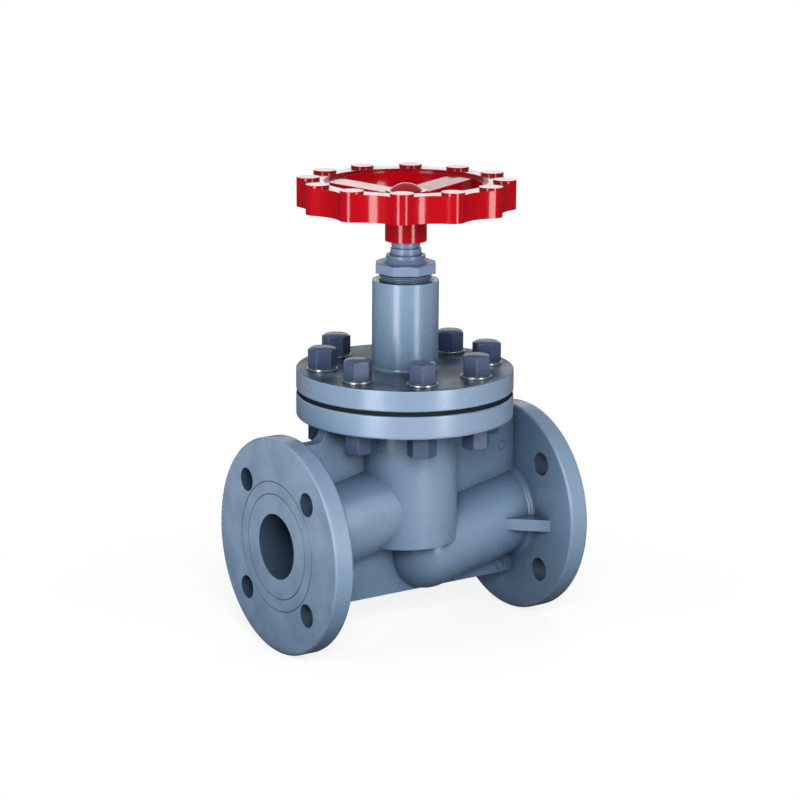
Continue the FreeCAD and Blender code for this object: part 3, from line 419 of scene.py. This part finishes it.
def join_copies(whole, part, matrices):
    """Adds copies of one shape to another, each moved by its own matrix."""
    mesh = bpy.data.meshes.new("part")
    part.to_mesh(mesh)
    part.free()
    for matrix in matrices:
        before = set(whole.verts)
        whole.from_mesh(mesh)
        bmesh.ops.transform(whole, matrix=matrix, verts=[v for v in whole.verts if v not in before])
    bpy.data.meshes.remove(mesh)


def add_piece(shape, name, material, body, node, edge):
    """Finishes a mesh: smooth faces, softened edges, its material, and the body that it rides on."""
    for face in shape.faces:
        face.smooth = True
    mesh = bpy.data.meshes.new(name)
    shape.to_mesh(mesh)
    shape.free()
    mesh.materials.append(material)
    piece = bpy.data.objects.new(name, mesh)
    scene.collection.objects.link(piece)
    soft = piece.modifiers.new("soft_edges", "BEVEL")
    soft.width = edge
    soft.segments = 3
    soft.limit_method = "ANGLE"
    soft.angle_limit = math.radians(28)
    soft.harden_normals = True
    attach(piece, body)
    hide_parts(node)


studs = 8
stud_circle = 0.0635
stud_angles = [math.tau * (number + 0.5) / studs for number in range(studs)]
washer_hole, washer_rim = 0.0043, 0.01175
for level in ("upper", "lower"):
    low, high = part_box(f"stud_washers_{level}")
    ring = turn_profile([
        (washer_hole, low.z), (washer_rim, low.z), (washer_rim, high.z), (washer_hole, high.z)], steps=48)
    washers = bmesh.new()
    join_copies(washers, ring, [
        Matrix.Rotation(angle, 4, "Z") @ Matrix.Translation((stud_circle, 0, 0)) for angle in stud_angles])
    add_piece(washers, f"washers_{level}", bright_steel, "valve", f"stud_washers_{level}",
              edge=0.0005)


# Nut caps. Tall hexagonal covers moulded in dark slate plastic, with a bevelled, slightly domed end and a
# thin round foot. They are pushed on by hand, so each stands at its own turn.
def grow(shape, loop):
    """Extrudes a loop of edges, and returns the new points and the new loop, which lie on the old ones."""
    made = bmesh.ops.extrude_edge_only(shape, edges=loop)["geom"]
    points = {part for part in made if isinstance(part, bmesh.types.BMVert)}
    return points, [part for part in made if isinstance(part, bmesh.types.BMEdge) and set(part.verts) <= points]


def prism(sides, flats, length, chamfer, slant, dome):
    """A regular prism standing on Z = 0, its top corners cut by a cone and its top face domed."""
    apothem = flats / 2
    step = math.tau / sides
    shape = bmesh.new()
    bmesh.ops.create_circle(shape, segments=8 * sides, radius=apothem, cap_ends=False)
    for point in shape.verts:
        off = (math.atan2(point.co.y, point.co.x) + step / 2) % step - step / 2
        point.co = point.co.normalized() * apothem / math.cos(off)
    bmesh.ops.contextual_create(shape, geom=list(shape.edges))
    points, loop = grow(shape, list(shape.edges))
    for point in points:
        point.co.z = length - (point.co.xy.length - apothem + chamfer) * math.tan(slant)
    for share, height in ((1.0, 0.0), (0.66, 0.56), (0.33, 0.89)):
        points, loop = grow(shape, loop)
        for point in points:
            flat = point.co.xy.normalized() * (apothem - chamfer) * share
            point.co = (flat.x, flat.y, length + dome * height)
    for point in grow(shape, loop)[0]:
        point.co = (0, 0, length + dome)
    bmesh.ops.remove_doubles(shape, verts=shape.verts, dist=1e-6)
    bmesh.ops.recalc_face_normals(shape, faces=shape.faces)
    return shape


on_axis = 1e-7
cap_plastic = plastic("slate_plastic", (0.043, 0.061, 0.108), 0.28, soft_edge=0.0006, lustre=0.55)
cap_flats, cap_chamfer, cap_slant, cap_dome = 0.0193, 0.0012, math.radians(28), 0.0009
foot_radius, foot_thick = 0.0111, 0.0008
cap_turns = (12, 41, 3, 27, 52, 18, 34, 9)
for level in ("upper", "lower"):
    low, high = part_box(f"nut_caps_{level}")
    caps = bmesh.new()
    for angle, turn in zip(stud_angles, cap_turns):
        cap = prism(6, cap_flats, high.z - low.z - cap_dome, cap_chamfer, cap_slant, cap_dome)
        foot = turn_profile([(on_axis, 0), (foot_radius, 0), (foot_radius, foot_thick), (on_axis, foot_thick)],
                            steps=40)
        join_copies(cap, foot, [Matrix.Identity(4)])
        if level == "lower":
            seat = Matrix.Translation((stud_circle, 0, high.z)) @ Matrix.Rotation(math.pi, 4, "X")
        else:
            seat = Matrix.Translation((stud_circle, 0, low.z))
        stand = Matrix.Rotation(angle, 4, "Z") @ seat @ Matrix.Rotation(math.radians(turn), 4, "Z")
        join_copies(caps, cap, [stand])
    add_piece(caps, f"caps_{level}", cap_plastic, "valve", f"nut_caps_{level}", edge=0.0004)

# Gland nut. Machined from grey bar: a male thread that screws into the tower, an octagon with bevelled
# corners and a flared collar that the stem slides through.
gland_plastic = plastic("machined_plastic", (0.147, 0.188, 0.282), 0.32, soft_edge=0.0004)
gland_low, gland_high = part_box("gland_nut")
tower_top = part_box("bonnet")[1].z
octagon_low, octagon_high = tower_top + 0.006, tower_top + 0.0136
octagon_flats, octagon_chamfer, octagon_slant = 0.045, 0.0008, math.radians(22)
octagon_turn = math.radians(55.7)
stem_hole, collar_radius = 0.01225, 0.01475
flare = ((0.0185, 0.0), (0.0170, 0.0010), (0.0160, 0.0020), (collar_radius, 0.0033))
thread_root, thread_crest, thread_pitch, thread_turns = 0.0188, 0.02, 0.0025, 7
thread_bottom = gland_low.z + 0.0013
gland = turn_profile(
    [(stem_hole, gland_low.z), (thread_root, gland_low.z), (thread_root, octagon_high)]
    + [(radius, octagon_high + rise) for radius, rise in flare]
    + [(collar_radius, gland_high.z), (stem_hole, gland_high.z)])
octagon = prism(8, octagon_flats, octagon_high - octagon_low, octagon_chamfer, octagon_slant, dome=0.0)
join_copies(gland, octagon, [
    Matrix.Translation((0, 0, octagon_low)) @ Matrix.Rotation(octagon_turn, 4, "Z")])


def screw_ridge(root, crest, pitch, bottom, turns, steps=48, sunk=0.0004):
    """A single thread ridge wound up the stem axis, sunk a little into the core that carries it."""
    ridge = bmesh.new()
    half_foot, half_crest = 0.45 * pitch, 0.12 * pitch
    section = [(root - sunk, -half_foot), (crest, -half_crest), (crest, half_crest), (root - sunk, half_foot)]
    points = [ridge.verts.new((reach, 0, bottom + rise)) for reach, rise in section]
    sides = [ridge.edges.new(pair) for pair in zip(points, points[1:] + points[:1])]
    ends = bmesh.ops.spin(ridge, geom=points + sides, cent=(0, 0, 0), axis=(0, 0, 1),
                          dvec=(0, 0, pitch / steps), angle=math.tau * turns, steps=steps * turns)
    last = [part for part in ends["geom_last"] if isinstance(part, bmesh.types.BMVert)]
    ridge.faces.new(points)
    bmesh.ops.contextual_create(ridge, geom=last)
    bmesh.ops.recalc_face_normals(ridge, faces=ridge.faces)
    return ridge


thread = screw_ridge(thread_root, thread_crest, thread_pitch, thread_bottom, thread_turns)
join_copies(gland, thread, [Matrix.Identity(4)])
add_piece(gland, "gland_nut_piece", gland_plastic, "valve", "gland_nut", edge=0.0003)

# Stem. Turned from grey bar, with a groove and a narrower ring under the wheel hub. Below, out of sight,
# come its thread, its shoulder and the button that lifts the disc.
stem_plastic = plastic("stem_plastic", (0.185, 0.235, 0.35), 0.32, soft_edge=0.0004)
paint("stem", stem_plastic)

# Disc. Turned from the same bar, it hangs on the stem's button inside the chamber. A ring nut keeps the
# button in, and a plate clamps the rubber seal to its underside.
for node in ("disc", "disc_seal_plate", "disc_nut"):
    paint(node, stem_plastic)


# Handwheel. Moulded in red, with a glossy skin: a hollow rim with twelve grip lobes and a ledge inside,
# three dished spokes and a long hub, which a nut holds on the stem.
def enamel(name, colour):
    """Glossy moulded colour with painted shade in deep hollows, and faint smudges and waves in its skin."""
    material, shader = new_material(name)
    place = object_place(material)
    clouds = noise(material, place, scale=30.0, detail=3.0)
    smudges = noise(material, place, scale=90.0, detail=4.0)
    waves = noise(material, place, scale=160.0, detail=2.0)
    # Painted shade: the colour darkens to a fifth in deep hollows.
    shade = times(material, between(material, clouds, 0.94, 1.06),
                  between(material, openness_for_shade(material, 0.035), 0.2, 1.0))
    bump = add_node(material, "Bump", {}, Height=waves, Strength=0.05, Distance=0.001)
    feed(material, shader, Base_Color=tinted(material, colour, shade),
         Roughness=between(material, smudges, 0.08, 0.2), Coat_Weight=0.2, Coat_Roughness=0.05,
         Normal=bump.outputs["Normal"])
    return material


wheel_red = enamel("red_enamel", (0.275, 0.0005, 0.004))
lobes = 12
wheel_turn = math.radians(8.3)
lobe_centre, lobe_radius, hollow_reach = 0.0733, 0.0088, 0.0750
half_step = math.pi / lobes
lobe_foot = lobe_centre * math.cos(half_step)
hollow_radius = ((hollow_reach ** 2 + lobe_centre ** 2 - 2 * hollow_reach * lobe_foot - lobe_radius ** 2)
                 / (2 * (lobe_radius + lobe_foot - hollow_reach)))
hollow_centre = hollow_reach + hollow_radius
touch = Vector((lobe_centre, 0)).lerp(
    Vector((hollow_centre * math.cos(half_step), hollow_centre * math.sin(half_step))),
    lobe_radius / (lobe_radius + hollow_radius))
lobe_turn = math.atan2(touch.y, touch.x)


def rim_reach(angle):
    """The radius of the scalloped rim: round lobes, and hollows that run into them as one smooth arc."""
    off = abs((angle - wheel_turn) % (2 * half_step) - half_step)
    if off < lobe_turn:
        return lobe_centre * math.cos(off) + math.sqrt(lobe_radius ** 2 - (lobe_centre * math.sin(off)) ** 2)
    across = hollow_centre * math.sin(half_step - off)
    return hollow_centre * math.cos(half_step - off) - math.sqrt(hollow_radius ** 2 - across ** 2)


wheel_low, wheel_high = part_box("handwheel")
pip_depth = 0.004
rim_top = wheel_high.z - pip_depth / 2
rim_bottom = rim_top - 0.0202
ledge = rim_top - 0.0024
roof = ledge - 0.004
wall, rim_inner, ledge_outer = 0.003, 0.0575, 0.0615
rim_outline = [
    (rim_inner, 0, rim_bottom), (rim_inner, 0, ledge), (ledge_outer, 0, ledge), (ledge_outer, 0, rim_top),
    (None, 0, rim_top), (None, 0, rim_bottom), (None, wall, rim_bottom), (None, wall, roof),
    (rim_inner + wall, 0, roof), (rim_inner + wall, 0, rim_bottom)]
wheel = bmesh.new()
bmesh.ops.create_circle(wheel, segments=lobes * 40, radius=rim_inner)
first_loop = list(wheel.edges)
points, loop = list(wheel.verts), first_loop
for number, (radius, inset, height) in enumerate(rim_outline):
    if number:
        points, loop = grow(wheel, loop)
    for point in points:
        angle = math.atan2(point.co.y, point.co.x)
        reach = radius or rim_reach(angle) - inset
        point.co = (reach * math.cos(angle), reach * math.sin(angle), height)
bmesh.ops.bridge_loops(wheel, edges=loop + first_loop)

pip = bmesh.new()
bmesh.ops.create_cone(pip, cap_ends=True, segments=48, radius1=lobe_radius, radius2=lobe_radius,
                      depth=pip_depth)
lobe_angles = [wheel_turn + math.tau * (number + 0.5) / lobes for number in range(lobes)]
join_copies(wheel, pip, [
    Matrix.Rotation(angle, 4, "Z") @ Matrix.Translation((lobe_centre, 0, rim_top)) for angle in lobe_angles])

hub_bore, hub_radius, socket_radius, socket_depth = 0.0108, 0.0157, 0.011, 0.0105
hub_top = wheel_low.z + 0.0382
hub = turn_profile([
    (hub_bore, wheel_low.z), (hub_radius, wheel_low.z), (hub_radius, hub_top), (socket_radius, hub_top),
    (socket_radius, hub_top - socket_depth), (hub_bore, hub_top - socket_depth)])
join_copies(wheel, hub, [Matrix.Identity(4)])

spokes = 3
spoke_inner, spoke_outer = 0.0115, 0.0590
spoke_width, spoke_depth, spoke_drop = 0.024, 0.009, 0.0055
spoke = bmesh.new()
bmesh.ops.create_cube(spoke, size=1)
for point in spoke.verts:
    outward = point.co.x > 0
    point.co.x = spoke_outer if outward else spoke_inner
    point.co.y *= spoke_width
    point.co.z = ledge - (0 if outward else spoke_drop) - (0 if point.co.z > 0 else spoke_depth)
join_copies(wheel, spoke, [
    Matrix.Rotation(wheel_turn + math.tau * number / spokes, 4, "Z") for number in range(spokes)])
bmesh.ops.recalc_face_normals(wheel, faces=wheel.faces)
add_piece(wheel, "red_handwheel", wheel_red, "stem_group", "handwheel", edge=0.0009)

# Wheel cap. A domed plug moulded in the same red, pressed into the top of the hub over the nut that holds
# the wheel.
cap_low, cap_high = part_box("wheel_cap")
dome_edge, dome_rise, dome_steps = 0.0124, cap_high.z - hub_top, 12
dome_radius = (dome_edge ** 2 + dome_rise ** 2) / (2 * dome_rise)
dome_turn = math.asin(dome_edge / dome_radius)
outline = [(hub_bore, cap_low.z), (hub_bore, hub_top), (dome_edge, hub_top)]
for number in range(1, dome_steps + 1):
    turn = dome_turn * (1 - number / dome_steps)
    reach = max(dome_radius * math.sin(turn), on_axis)
    outline.append((reach, cap_high.z - dome_radius * (1 - math.cos(turn))))
outline.append((on_axis, cap_low.z))
dome = turn_profile(outline, steps=64)
add_piece(dome, "wheel_cap_piece", wheel_red, "stem_group", "wheel_cap", edge=0.0003)
